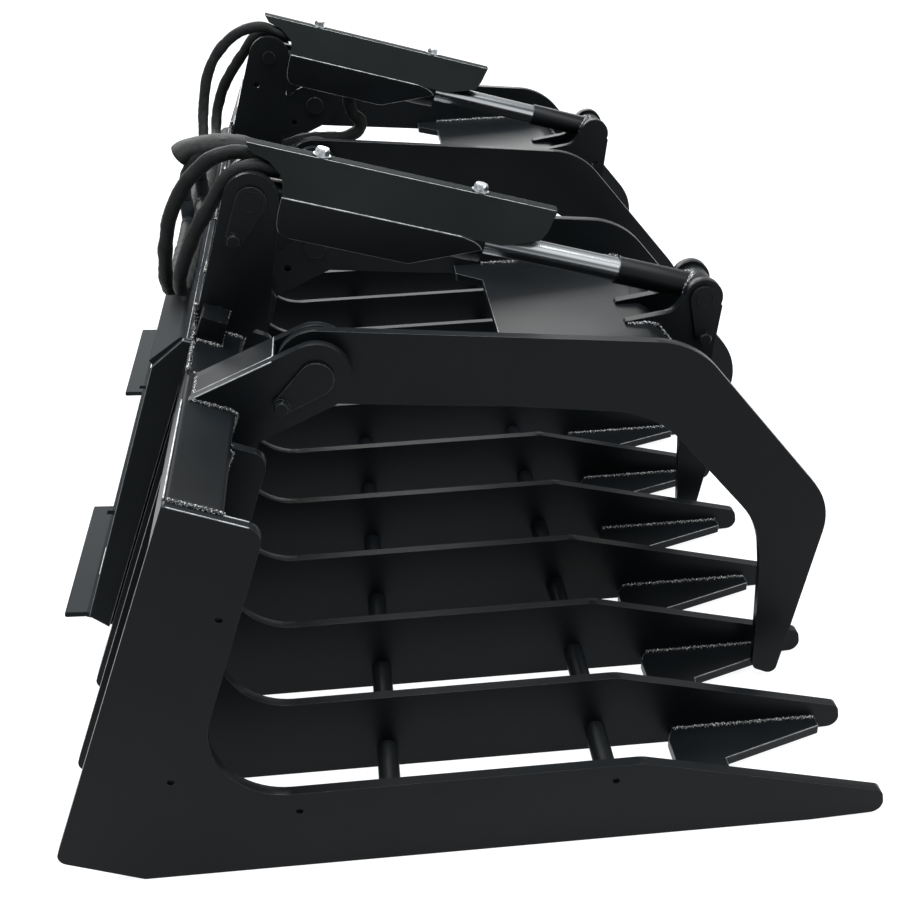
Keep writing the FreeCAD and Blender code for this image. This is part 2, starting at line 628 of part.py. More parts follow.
# Guards.  The cover is folded to a narrow flat ridge with two sloping sides, and
# a side plate is welded under each slope.  Two bolts hold it on the barrel's posts.
RIDGE_HALF = 13.0
SLOPE_HALF = 47.0        # outer foot of the slopes
SLOPE_LOW = 13.5
SIDE_HALF = 49.5         # outer face of the side plates
FOLD_R = 6.0
COVER_SIDE = [(-25, GUARD_H + 1), (-13, 63, 12), (14, 57, 20), (38, 41, 18), (43, 20, 6),
              (43, 5), (352, 5), (438, 31, 10), (447, 46, 14), (457, GUARD_H + 1)]
LEDGE = 2.0              # side plate above the foot of the slope
SIDE_PLATE = [(43, SLOPE_LOW + LEDGE), (46.5, -33, 8), (58, -44, 8), (247, -44, 12),
              (353, 1.5, 3), (338, SLOPE_LOW + LEDGE, 38)]
HOLE_ROOM = 0.5
GUARD_ENDS = (-40.0, 470.0)
GUARD_BOLT_HEAD = (19.0, 10.0, 13.5)     # across, height, flange radius
slope = math.atan2(SLOPE_HALF - RIDGE_HALF, GUARD_H - SLOPE_LOW)
inner_foot = SLOPE_HALF - SHEET / math.cos(slope)
inner_ridge = RIDGE_HALF - SHEET * math.tan((math.pi / 2 - slope) / 2)
section = [(-SLOPE_HALF, SLOPE_LOW), (-RIDGE_HALF, GUARD_H, FOLD_R), (RIDGE_HALF, GUARD_H, FOLD_R),
           (SLOPE_HALF, SLOPE_LOW), (inner_foot, SLOPE_LOW),
           (inner_ridge, GUARD_H - SHEET, FOLD_R - SHEET),
           (-inner_ridge, GUARD_H - SHEET, FOLD_R - SHEET), (-inner_foot, SLOPE_LOW)]
wire = rounded(section, lambda dx, h: on_cylinder(dx, GUARD_ENDS[0], h))
folded = Part.Face(wire).extrude(CYL_OUT * (GUARD_ENDS[1] - GUARD_ENDS[0]))


def side_cut(outline, dx, thick):
    return plate([along(c[0], c[1]) + c[2:] for c in outline], CYL_X + dx, thick)


cover = folded.common(side_cut(COVER_SIDE, -SIDE_HALF, 2 * SIDE_HALF))
guard = one([cover, side_cut(SIDE_PLATE, -SIDE_HALF, SHEET),
             side_cut(SIDE_PLATE, SIDE_HALF - SHEET, SHEET)])
for a in POST_A:
    guard = guard.cut(up_rod(0, a, GUARD_H - 2 * SHEET, GUARD_BOLT_R + HOLE_ROOM, 3 * SHEET))
save_pair("cylinder_%s_guard", guard)
across, head, rim_r = GUARD_BOLT_HEAD
save_pair("cylinder_%s_guard_bolts", [
    flange_bolt(on_cylinder(0, a, GUARD_H), CYL_UP, across, head, GUARD_BOLT_R, BOLT_DEEP, rim_r)
    for a in POST_A])

# Hoses.  Each cylinder has one to the base port and one to the front port's line.
# They loop over the tower and lie behind the tube to a tee near the middle, and from
# each tee a short hose arches forward over the tube to its coupler.
TEE_A = (XC - 30.0, 50.0, 588.0)         # base ports
TEE_B = (XC + 30.0, 75.0, 606.0)         # front ports
TEE_HALF = 34.0
TEE_TOP = 40.0
TEE_R = 12.0
COUPLER_U = 232.0
COUPLER_Z = 606.0
COUPLER_DX = 20.0
COUPLER = ((13.0, 36.0), (15.0, 42.0), (16.5, 14.0), (12.3, 22.0))   # radius, length
COUPLER_HEX = (30.0, 12.0)


def left(dx, u, z):
    return pt(CYL_X + dx, u, z)


def right(dx, u, z):
    return pt(2 * XC - CYL_X - dx, u, z)


def port_end(k):
    return on_cylinder(PORT_DX[k], PORT_A - ELBOW_BACK, HOSE_H)


def flipped(p):
    return V(-p.x, p.y, p.z)


BASE_LEFT = [port_end(0), on_cylinder(PORT_DX[0], 14, HOSE_H), left(17, 196, 833), left(18, 158, 831),
             left(18, 124, 810), left(18, 94, 778), left(18, 73, 737), left(20, 60, 691),
             left(30, 53, 647), left(56, 50, 609), left(98, 50, 590), left(150, 50, 587.5),
             left(215, 50, 588.5), left(290, 50, 587.5), left(352, *TEE_A[1:]),
             pt(TEE_A[0] - TEE_HALF, TEE_A[1], TEE_A[2])]
FRONT_LEFT = [port_end(1), on_cylinder(PORT_DX[1], 14, HOSE_H), left(-16, 203, 820),
              left(-18, 171, 807), left(-18, 146, 772), left(-18, 120, 737),
              left(-18, 98, 697), left(-13, 82, 657), left(8, 75, 624), left(48, 74, 608),
              left(104, 75, 605.5), left(174, 75, 606.5), left(260, 75, 605.5),
              left(340, 75, 606.5), left(405, *TEE_B[1:]),
              pt(TEE_B[0] - TEE_HALF, TEE_B[1], TEE_B[2])]
BASE_RIGHT = [flipped(port_end(0)), flipped(on_cylinder(PORT_DX[0], 14, HOSE_H)),
              right(17, 195, 833), right(18, 156, 830), right(18, 119, 810), right(18, 89, 778),
              right(18, 67, 738), right(20, 56, 693), right(30, 50, 649), right(56, 49, 610),
              right(98, 50, 590), right(150, 50, 587.5), right(215, 50, 588.5),
              right(290, 50, 587.5), right(360, 50, 588.5), right(412, *TEE_A[1:]),
              pt(TEE_A[0] + TEE_HALF, TEE_A[1], TEE_A[2])]
FRONT_RIGHT = [flipped(port_end(1)), flipped(on_cylinder(PORT_DX[1], 14, HOSE_H)),
               right(-16, 202, 820), right(-18, 168, 804), right(-18, 140, 766), right(-18, 112, 731),
               right(-18, 90, 691), right(-13, 77, 653), right(8, 73, 622),
               right(48, 74, 608), right(104, 75, 605.5), right(174, 75, 606.5),
               right(260, 75, 605.4), right(335, *TEE_B[1:]),
               pt(TEE_B[0] + TEE_HALF, TEE_B[1], TEE_B[2])]
SUPPLY_A = [pt(TEE_A[0], TEE_A[1], TEE_A[2] + TEE_TOP), pt(TEE_A[0], TEE_A[1], 667),
            pt(XC - 24, 72, 702), pt(XC - 16, 108, 722), pt(XC - 14, 147, 723),
            pt(XC - 15, 184, 707), pt(XC - 17, 216, 681), pt(XC - COUPLER_DX, COUPLER_U, 645),
            pt(XC - COUPLER_DX, COUPLER_U, COUPLER_Z)]
SUPPLY_B = [pt(TEE_B[0], TEE_B[1], TEE_B[2] + TEE_TOP), pt(TEE_B[0], TEE_B[1], 679),
            pt(XC + 24, 98, 708), pt(XC + 15, 138, 719), pt(XC + 14, 172, 711),
            pt(XC + 16, 209, 684), pt(XC + COUPLER_DX, COUPLER_U, 648),
            pt(XC + COUPLER_DX, COUPLER_U, COUPLER_Z)]


def hose(name, points):
    # straight runs joined by tangent arcs through the listed points
    edges = []
    radii = []
    start = points[0]
    for before, corner, after in zip(points, points[1:], points[2:]):
        back = before - corner
        onward = after - corner
        half = back.getAngle(onward) / 2
        cut = 0.45 * min(back.Length, onward.Length)
        radius = cut * math.tan(half)
        back.normalize()
        onward.normalize()
        towards = (back + onward).normalize()
        first = corner + back * cut
        last = corner + onward * cut
        middle = corner + towards * (radius / math.sin(half) - radius)
        edges.append(Part.makeLine(start, first))
        edges.append(Part.Arc(first, middle, last).toShape())
        radii.append(radius)
        start = last
    edges.append(Part.makeLine(start, points[-1]))
    path = Part.Wire(edges)
    ring = Part.Wire([Part.makeCircle(HOSE_R, points[0], points[1] - points[0])])
    tube = path.makePipeShell([ring], True, False)
    share = tube.Volume / (math.pi * HOSE_R ** 2 * path.Length)
    print("%s length %.0f, least radius %.0f, volume share %.4f"
          % (name, path.Length, min(radii), share))
    save(name, tube)


hose("hose_left_base", BASE_LEFT)
hose("hose_left_front", FRONT_LEFT)
hose("hose_right_base", BASE_RIGHT)
hose("hose_right_front", FRONT_RIGHT)
hose("supply_hose_base", SUPPLY_A)
hose("supply_hose_front", SUPPLY_B)


def tee(place):
    x, u, z = place
    run = rod(x - TEE_HALF, (u, z), TEE_R, 2 * TEE_HALF)
    branch = Part.makeCylinder(TEE_R, TEE_TOP, pt(x, u, z), UPRIGHT)
    return one([run, branch])


def coupler(dx):
    # ferrule, hexagon, body, sleeve and plug, pointing down
    top = COUPLER_Z
    down = UPRIGHT * -1
    shapes = []
    for index, (r, length) in enumerate(COUPLER):
        shapes.append(Part.makeCylinder(r, length, pt(XC + dx, COUPLER_U, top), down))
        top -= length
        if index == 0:
            across, deep = COUPLER_HEX
            shapes.append(hex_prism(pt(XC + dx, COUPLER_U, top + 1), down, across, deep + 1, 0))
            top -= deep
    return one(shapes)


save("hose_tees", [tee(TEE_A), tee(TEE_B)])
save("quick_couplers", [coupler(-COUPLER_DX), coupler(COUPLER_DX)])
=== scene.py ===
import math

import bmesh
import bpy
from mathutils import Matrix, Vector, noise


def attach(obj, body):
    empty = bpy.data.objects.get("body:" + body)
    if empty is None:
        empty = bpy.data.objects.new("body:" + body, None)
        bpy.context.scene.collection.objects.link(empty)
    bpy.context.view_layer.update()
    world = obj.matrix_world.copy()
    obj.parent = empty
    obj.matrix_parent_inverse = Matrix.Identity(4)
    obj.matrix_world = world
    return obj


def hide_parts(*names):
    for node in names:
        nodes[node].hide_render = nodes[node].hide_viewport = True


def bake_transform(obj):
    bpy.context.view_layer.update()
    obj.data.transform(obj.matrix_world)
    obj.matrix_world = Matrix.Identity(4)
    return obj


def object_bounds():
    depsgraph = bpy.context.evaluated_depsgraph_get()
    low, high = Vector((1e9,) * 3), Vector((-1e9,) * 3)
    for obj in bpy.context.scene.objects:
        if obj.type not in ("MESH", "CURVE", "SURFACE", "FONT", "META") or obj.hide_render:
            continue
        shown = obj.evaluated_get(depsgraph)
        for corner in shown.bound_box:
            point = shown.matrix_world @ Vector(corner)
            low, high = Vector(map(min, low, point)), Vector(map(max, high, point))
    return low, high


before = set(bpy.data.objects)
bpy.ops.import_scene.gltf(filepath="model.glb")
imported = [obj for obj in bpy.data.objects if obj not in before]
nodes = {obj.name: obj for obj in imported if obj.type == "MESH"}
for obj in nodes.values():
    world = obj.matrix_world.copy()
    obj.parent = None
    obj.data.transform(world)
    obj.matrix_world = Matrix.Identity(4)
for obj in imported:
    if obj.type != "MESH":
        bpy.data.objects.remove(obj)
cad_low, cad_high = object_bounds()


# View and light
# The grapple is seen from above its left front corner, on a pale floor, under a wide soft panel
# overhead and three weaker ones, so that the black plates read by the light on their edges.
def linear(colour):
    parts = [int(colour[k:k + 2], 16) / 255 for k in (1, 3, 5)]
    return tuple(v / 12.92 if v <= 0.04045 else ((v + 0.055) / 1.055) ** 2.4 for v in parts) + (1.0,)


def add(tree, kind, settings=None, links=None):
    made = tree.nodes.new("ShaderNode" + kind)
    for key, value in (settings or {}).items():
        if isinstance(key, int) or key in made.inputs:
            made.inputs[key].default_value = value
        else:
            setattr(made, key, value)
    for key, socket in (links or {}).items():
        tree.links.new(socket, made.inputs[key])
    return made


def finish_named(name):
    made = bpy.data.materials.new(name)
    made.use_nodes = True
    made.node_tree.nodes.clear()
    return made, made.node_tree


scene = bpy.context.scene
scene.view_settings.view_transform = "Standard"

lens = bpy.data.cameras.new("camera")
lens.sensor_width = 36
lens.lens = 54.553
camera = bpy.data.objects.new("camera", lens)
camera.location = (-2.46593, 0.09495, 1.39945)
camera.rotation_euler = [math.radians(a) for a in (61.42455, 1.89151, -95.06823)]
scene.collection.objects.link(camera)
scene.camera = camera

FLOOR_SIZE = 60.0
FLOOR_COLOUR = "#f4f5f6"
WORLD_COLOUR = "#ffffff"
WORLD_STRENGTH = 0.20

world = bpy.data.worlds.new("studio")
world.use_nodes = True
scene.world = world
sky = world.node_tree
sky.nodes.clear()
seen = add(sky, "LightPath")
seen_or_glossy = add(sky, "Math", {"operation": "MAXIMUM"},
                     {0: seen.outputs["Is Camera Ray"], 1: seen.outputs["Is Glossy Ray"]})
seen_at_all = add(sky, "Math", {"operation": "MAXIMUM"},
                  {0: seen_or_glossy.outputs[0], 1: seen.outputs["Is Transmission Ray"]})
sky_level = add(sky, "MapRange", {"To Min": WORLD_STRENGTH, "To Max": 1.0}, {"Value": seen_at_all.outputs[0]})
sky_light = add(sky, "Background", {"Color": linear(WORLD_COLOUR)}, {"Strength": sky_level.outputs[0]})
add(sky, "OutputWorld", {}, {"Surface": sky_light.outputs[0]})

floor_mesh = bpy.data.meshes.new("floor")
half = FLOOR_SIZE / 2
floor_mesh.from_pydata([(-half, -half, 0), (half, -half, 0), (half, half, 0), (-half, half, 0)], [],
                       [(0, 1, 2, 3)])
floor = bpy.data.objects.new("floor", floor_mesh)
scene.collection.objects.link(floor)
floor.location.z = cad_low[2] - 0.0005
floor_paint, tree = finish_named("matt_floor_paint")
path = add(tree, "LightPath")
either = add(tree, "Math", {"operation": "MAXIMUM"},
             {0: path.outputs["Is Camera Ray"], 1: path.outputs["Is Glossy Ray"]})
any_view = add(tree, "Math", {"operation": "MAXIMUM"}, {0: either.outputs[0], 1: path.outputs["Is Transmission Ray"]})
glow = add(tree, "Emission", {"Color": linear(FLOOR_COLOUR)}, {"Strength": any_view.outputs[0]})
matt = add(tree, "BsdfDiffuse", {"Color": linear("#9a9c9e")})
both = add(tree, "AddShader", {}, {0: glow.outputs[0], 1: matt.outputs[0]})
add(tree, "OutputMaterial", {}, {"Surface": both.outputs[0]})
floor_mesh.materials.append(floor_paint)


def panel(name, place, aim, size, power):
    light = bpy.data.lights.new(name, "AREA")
    light.shape = "RECTANGLE"
    light.size, light.size_y = size
    light.energy = power
    lamp = bpy.data.objects.new(name, light)
    lamp.location = place
    lamp.rotation_euler = (Vector(aim) - Vector(place)).to_track_quat("-Z", "Y").to_euler()
    scene.collection.objects.link(lamp)


panel("overhead_panel", (-0.2, 0.2, 3.6), (0, 0, 0.4), (3.6, 2.6), 190)
panel("front_panel", (-1.8, -3.0, 2.0), (-0.4, -0.3, 0.4), (2.0, 1.4), 40)
panel("far_panel", (4.6, 0.6, 2.4), (0, 0, 0.4), (4.0, 1.4), 105)
panel("far_small_panel", (3.1, 1.4, 2.5), (-0.6, 0.3, 0.5), (0.7, 0.7), 38)


# Cylinder hoses
# Two hydraulic hoses per cylinder in a woven nylon abrasion sleeve, which lies loose on the rubber
# and bunches in soft rings. They leave the fittings at the base end of the barrel, loop over the
# tower, drop behind the top tube and run along it to the tees.
HOSE_WIDE = 0.022
SLEEVE_RINGS = 0.0035
SLEEVE_SIDES = 22
BUNCH_MM = 26.0
CREASE_MM = 9.0
PROBE = 0.01


def route_of(control):
    curve = bpy.data.curves.new("route", "CURVE")
    curve.dimensions = "3D"
    curve.resolution_u = 24
    spline = curve.splines.new("NURBS")
    spline.points.add(len(control) - 1)
    for point, place in zip(spline.points, control):
        point.co = (*place, 1.0)
    spline.order_u = 3
    spline.use_endpoint_u = True
    carrier = bpy.data.objects.new("route", curve)
    scene.collection.objects.link(carrier)
    bpy.context.view_layer.update()
    line = bpy.data.meshes.new_from_object(carrier.evaluated_get(bpy.context.evaluated_depsgraph_get()))
    points = [v.co.copy() for v in line.vertices]
    bpy.data.objects.remove(carrier)
    bpy.data.meshes.remove(line)
    return points


def spaced(points, step):
    lengths = [0.0]
    for a, b in zip(points, points[1:]):
        lengths.append(lengths[-1] + (b - a).length)
    count = max(2, round(lengths[-1] / step))
    found, k = [], 0
    for j in range(count + 1):
        want = lengths[-1] * j / count
        while k < len(points) - 2 and lengths[k + 1] < want:
            k += 1
        run = lengths[k + 1] - lengths[k]
        found.append(points[k].lerp(points[k + 1], (want - lengths[k]) / run if run else 0.0))
    return found, lengths[-1]


def tube_mesh(name, points, radius_at, sides):
    mesh = bpy.data.meshes.new(name)
    shape = bmesh.new()
    side = Vector((0, 0, 1)).cross(points[1] - points[0])
    if side.length < 1e-6:
        side = Vector((1, 0, 0))
    rings = []
    for k, centre in enumerate(points):
        ahead = (points[min(k + 1, len(points) - 1)] - points[max(k - 1, 0)]).normalized()
        side = (side - ahead * side.dot(ahead)).normalized()
        over = ahead.cross(side)
        ring = []
        for j in range(sides):
            turn = 2 * math.pi * j / sides
            out = side * math.cos(turn) + over * math.sin(turn)
            ring.append(shape.verts.new(centre + out * radius_at(k, centre + out * PROBE)))
        rings.append(ring)
    for one, two in zip(rings, rings[1:]):
        for j in range(sides):
            nxt = (j + 1) % sides
            shape.faces.new((one[j], one[nxt], two[nxt], two[j])).smooth = True
    shape.faces.new(rings[0][::-1])
    shape.faces.new(rings[-1])
    shape.to_mesh(mesh)
    shape.free()
    made = bpy.data.objects.new(name, mesh)
    scene.collection.objects.link(made)
    return made


# Woven nylon: dull, a fine weave that only shows as a soft grain, dusty on the raised rings.
sleeve_cloth, tree = finish_named("woven_nylon_sleeve")
WEAVE_MM = 3.0
place = add(tree, "TexCoord")
weave = add(tree, "TexNoise", {"Scale": 1000 / WEAVE_MM, "Detail": 2.0}, {"Vector": place.outputs["Object"]})
dust = add(tree, "TexNoise", {"Scale": 1000 / 45, "Detail": 4.0}, {"Vector": place.outputs["Object"]})
shade = add(tree, "ValToRGB", {}, {"Fac": dust.outputs["Fac"]})
shade.color_ramp.elements[0].position, shade.color_ramp.elements[0].color = 0.35, linear("#080a0b")
shade.color_ramp.elements[1].position, shade.color_ramp.elements[1].color = 0.70, linear("#1a1d1e")
grain = add(tree, "Bump", {"Strength": 0.8, "Distance": 0.0012}, {"Height": weave.outputs["Fac"]})
cloth = add(tree, "BsdfPrincipled", {"Roughness": 0.62, "IOR": 1.53, "Specular IOR Level": 0.16, "Sheen Weight": 0.05,
                                     "Sheen Roughness": 0.4},
            {"Base Color": shade.outputs[0], "Normal": grain.outputs[0]})
add(tree, "OutputMaterial", {}, {"Surface": cloth.outputs[0]})


def sleeve_radius(count, seed, wide=HOSE_WIDE):
    def at(k, place):
        crumple = noise.noise(Vector((place.x, place.y, place.z)) * (1000 / BUNCH_MM) + Vector((seed, 0, 0)))
        fine = noise.noise(Vector((place.x, place.y, place.z)) * (1000 / CREASE_MM) + Vector((0, seed, 0)))
        cuff = min(1.0, k / 6, (count - 1 - k) / 6)
        return wide / 2 * (1.0 + 0.17 * crumple * cuff + 0.07 * fine * cuff)
    return at


def sleeved_hose(name, node, control, seed, body):
    line = route_of(control)
    points, length = spaced(line, SLEEVE_RINGS)
    hose = tube_mesh(name, points, sleeve_radius(len(points), seed), SLEEVE_SIDES)
    hose.data.materials.append(sleeve_cloth)
    if body == "frame":
        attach(hose, "frame")
    else:
        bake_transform(hose)
    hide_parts(node)
    return hose


BASE_LEFT = [
    (-0.4627, 0.1858, 0.8075), (-0.4627, 0.2098, 0.8145), (-0.4570, 0.2416, 0.8330), (-0.4560, 0.2796, 0.8310),
    (-0.4560, 0.3136, 0.8100), (-0.4560, 0.3436, 0.7780), (-0.4560, 0.3646, 0.7370), (-0.4540, 0.3776, 0.6910),
    (-0.4440, 0.3846, 0.6470), (-0.4180, 0.3876, 0.6090), (-0.3760, 0.3876, 0.5900), (-0.3240, 0.3876, 0.5875),
    (-0.2590, 0.3876, 0.5885), (-0.1840, 0.3876, 0.5875), (-0.1220, 0.3876, 0.5880), (-0.0640, 0.3876, 0.5880)]
FRONT_LEFT = [
    (-0.4853, 0.1858, 0.8075), (-0.4853, 0.2098, 0.8145), (-0.4900, 0.2346, 0.8200), (-0.4920, 0.2666, 0.8070),
    (-0.4920, 0.2916, 0.7720), (-0.4920, 0.3176, 0.7370), (-0.4920, 0.3396, 0.6970), (-0.4870, 0.3556, 0.6570),
    (-0.4660, 0.3626, 0.6240), (-0.4260, 0.3636, 0.6080), (-0.3700, 0.3626, 0.6055), (-0.3000, 0.3626, 0.6065),
    (-0.2140, 0.3626, 0.6055), (-0.1340, 0.3626, 0.6065), (-0.0690, 0.3626, 0.6060), (-0.0040, 0.3626, 0.6060)]
BASE_RIGHT = [
    (0.4627, 0.1858, 0.8075), (0.4627, 0.2098, 0.8145), (0.4570, 0.2426, 0.8330), (0.4560, 0.2816, 0.8300),
    (0.4560, 0.3186, 0.8100), (0.4560, 0.3486, 0.7780), (0.4560, 0.3706, 0.7380), (0.4540, 0.3816, 0.6930),
    (0.4440, 0.3876, 0.6490), (0.4180, 0.3886, 0.6100), (0.3760, 0.3876, 0.5900), (0.3240, 0.3876, 0.5875),
    (0.2590, 0.3876, 0.5885), (0.1840, 0.3876, 0.5875), (0.1140, 0.3876, 0.5885), (0.0620, 0.3876, 0.5880),
    (0.0040, 0.3876, 0.5880)]
FRONT_RIGHT = [
    (0.4853, 0.1858, 0.8075), (0.4853, 0.2098, 0.8145), (0.4900, 0.2356, 0.8200), (0.4920, 0.2696, 0.8040),
    (0.4920, 0.2976, 0.7660), (0.4920, 0.3256, 0.7310), (0.4920, 0.3476, 0.6910), (0.4870, 0.3606, 0.6530),
    (0.4660, 0.3646, 0.6220), (0.4260, 0.3636, 0.6080), (0.3700, 0.3626, 0.6055), (0.3000, 0.3626, 0.6065),
    (0.2140, 0.3626, 0.6054), (0.1390, 0.3626, 0.6060), (0.0640, 0.3626, 0.6060)]

sleeved_hose("sleeved_hose_left_base", "hose_left_base", BASE_LEFT, 1.0, "barrel_left")
sleeved_hose("sleeved_hose_left_front", "hose_left_front", FRONT_LEFT, 2.0, "barrel_left")
sleeved_hose("sleeved_hose_right_base", "hose_right_base", BASE_RIGHT, 3.0, "barrel_right")
sleeved_hose("sleeved_hose_right_front", "hose_right_front", FRONT_RIGHT, 4.0, "barrel_right")


# Supply hoses
# Two short sleeved hoses rise from the tees, arch forward over the middle of the top tube and hang
# down to the quick couplers that plug into the loader's lines.
SUPPLY_BASE = [
    (-0.0300, 0.3876, 0.6280), (-0.0300, 0.3876, 0.6670), (-0.0240, 0.3656, 0.7020), (-0.0160, 0.3296, 0.7220),
    (-0.0140, 0.2906, 0.7230), (-0.0150, 0.2536, 0.7070), (-0.0170, 0.2216, 0.6810), (-0.0200, 0.2056, 0.6450),
    (-0.0200, 0.2056, 0.6060)]
SUPPLY_FRONT = [
    (0.0300, 0.3626, 0.6460), (0.0300, 0.3626, 0.6790), (0.0240, 0.3396, 0.7080), (0.0150, 0.2996, 0.7190),
    (0.0140, 0.2656, 0.7110), (0.0160, 0.2286, 0.6840), (0.0200, 0.2056, 0.6480), (0.0200, 0.2056, 0.6060)]
sleeved_hose("sleeved_supply_base", "supply_hose_base", SUPPLY_BASE, 5.0, "frame")
sleeved_hose("sleeved_supply_front", "supply_hose_front", SUPPLY_FRONT, 6.0, "frame")

# A wider sleeve gathers both over the arch, loose and frayed at its rear end.
BUNDLE = [(0.0, 0.3900, 0.7000), (0.0, 0.3810, 0.7090), (0.0, 0.3520, 0.7135), (0.0, 0.3250, 0.7160),
          (0.0, 0.2990, 0.7160), (0.0, 0.2690, 0.7085), (0.0, 0.2450, 0.6950), (0.0, 0.2320, 0.6800)]
BUNDLE_WIDE, BUNDLE_HIGH = 0.033, 0.0190
CRUMPLES_PER_M, CREASES_PER_M = 38.0, 110.0
BUNDLE_SIDES = 36


def bundle_radius(count):
    def at(k, place):
        level = min(1.0, abs(place.x) / PROBE)
        flat = 1.0 / math.hypot(level / BUNDLE_WIDE, math.sqrt(1.0 - level * level) / BUNDLE_HIGH)
        crumple = noise.noise(Vector((place.x, place.y, place.z)) * CRUMPLES_PER_M)
        fine = noise.noise(Vector((place.x, place.y, place.z)) * CREASES_PER_M)
        frayed = max(0.0, 1.0 - k / 6) * 0.22
        drawn_in = 0.10 * max(0.0, 1.0 - (count - 1 - k) / 6)
        return flat * (1.0 + 0.12 * crumple + 0.05 * fine + frayed - drawn_in)
    return at


points, length = spaced(route_of(BUNDLE), SLEEVE_RINGS)
bundle = tube_mesh("supply_sleeve", points, bundle_radius(len(points)), BUNDLE_SIDES)
bundle.data.materials.append(sleeve_cloth)
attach(bundle, "frame")

# Under the far barrel a loose hose hangs from a crimped fitting and runs back to the tower's foot.
UNDERSIDE_WIDE = 0.027
UNDERSIDE = [(0.4740, 0.0770, 0.6860), (0.4740, 0.0765, 0.6600), (0.4740, 0.0700, 0.6360), (0.4740, 0.0540, 0.6230),
             (0.4740, 0.0560, 0.6030), (0.4740, 0.0760, 0.5900), (0.4740, 0.1050, 0.5860), (0.4740, 0.1400, 0.5880),
             (0.4740, 0.1750, 0.5890), (0.4740, 0.2050, 0.5800), (0.4740, 0.2350, 0.5750), (0.4740, 0.2550, 0.5730)]
points, length = spaced(route_of(UNDERSIDE), SLEEVE_RINGS)
underside = tube_mesh("underside_hose", points, sleeve_radius(len(points), 7.0, UNDERSIDE_WIDE), SLEEVE_SIDES)
underside.data.materials.append(sleeve_cloth)
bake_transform(underside)


# Plates, tube and bars
# Mild steel plate, laser cut, welded and coated as one piece. Satin black polyester powder coat:
# smooth with a faint orange peel, rounded over at every cut edge, where a lighter edge finish paints a highlight
# line.
PEEL_MM = 2.2
CLOUD_MM = 160.0
EDGE = 0.0013


def powder_coat(name, dark, light, shine, smooth, dull):
    made, tree = finish_named(name)
    spot = add(tree, "TexCoord")
    peel = add(tree, "TexNoise", {"Scale": 1000 / PEEL_MM, "Detail": 1.0}, {"Vector": spot.outputs["Object"]})
    cloud = add(tree, "TexNoise", {"Scale": 1000 / CLOUD_MM, "Detail": 5.0}, {"Vector": spot.outputs["Object"]})
    tone = add(tree, "ValToRGB", {}, {"Fac": cloud.outputs["Fac"]})
    tone.color_ramp.elements[0].position, tone.color_ramp.elements[0].color = 0.30, linear(dark)
    tone.color_ramp.elements[1].position, tone.color_ramp.elements[1].color = 0.72, linear(light)
    satin = add(tree, "MapRange", {"To Min": smooth, "To Max": dull}, {"Value": cloud.outputs["Fac"]})
    skin = add(tree, "Bump", {"Strength": 0.06, "Distance": 0.0004}, {"Height": peel.outputs["Fac"]})
    coat = add(tree, "BsdfPrincipled", {"IOR": 1.5, "Specular IOR Level": shine},
               {"Base Color": tone.outputs[0], "Roughness": satin.outputs[0], "Normal": skin.outputs[0]})
    add(tree, "OutputMaterial", {}, {"Surface": coat.outputs[0]})
    return made


coat_black = powder_coat("satin_black_powder_coat", "#0b0e10", "#13171a", 0.12, 0.30, 0.44)
# The guards take a matt copy of the same coat, painted paler as painted light on their up-facing panels.
coat_guard_painted_paler = powder_coat("matt_black_powder_coat_painted_paler", "#181c1c", "#202424", 0.03, 0.55, 0.70)

# Every rounded cut edge takes a smoother, glossier coat whose lighter colour is a painted highlight.
edge_painted_highlight, tree = finish_named("powder_coat_edge_painted_highlight")
HIGHLIGHT_PATCH_MM = 18.0
spot = add(tree, "TexCoord")
edge_highlight_noise = add(tree, "TexNoise", {"Scale": 1000 / HIGHLIGHT_PATCH_MM, "Detail": 3.0}, {"Vector": spot.outputs["Object"]})
edge_highlight_tone = add(tree, "ValToRGB", {}, {"Fac": edge_highlight_noise.outputs["Fac"]})
edge_highlight_tone.color_ramp.elements[0].position, edge_highlight_tone.color_ramp.elements[0].color = 0.35, linear("#34393c")
edge_highlight_tone.color_ramp.elements[1].position, edge_highlight_tone.color_ramp.elements[1].color = 0.70, linear("#70767a")
gloss = add(tree, "BsdfPrincipled", {"IOR": 1.5, "Specular IOR Level": 0.9, "Roughness": 0.20},
            {"Base Color": edge_highlight_tone.outputs[0]})
add(tree, "OutputMaterial", {}, {"Surface": gloss.outputs[0]})


def dress(name, finish, edge, edge_finish=None):
    piece = nodes[name]
    for place_in in piece.material_slots:
        place_in.material = finish
    if edge_finish:
        piece.data.materials.append(edge_finish)
    if edge:
        weld = piece.modifiers.new("joined_faces", "WELD")
        weld.merge_threshold = 0.00001
        bevel = piece.modifiers.new("rounded_edge", "BEVEL")
        bevel.width = edge
        bevel.segments = 2
        bevel.limit_method = "ANGLE"
        bevel.angle_limit = math.radians(38)
        bevel.harden_normals = True
        if edge_finish:
            bevel.material = 1


# The rear plates take a duller coat whose paler colour is painted light, standing in for the light that falls on
# them.
coat_dull_painted_paler = powder_coat("dull_black_powder_coat_painted_paler", "#202427", "#2b2f31", 0.06, 0.50, 0.62)

COATED = [name for name, piece in nodes.items() if piece.material_slots[0].material.name == "black_coat"]
for name in COATED:
    finish = coat_guard_painted_paler if name.endswith("_guard") else coat_dull_painted_paler if name.startswith("attach") else coat_black
    dress(name, finish, EDGE, edge_painted_highlight)
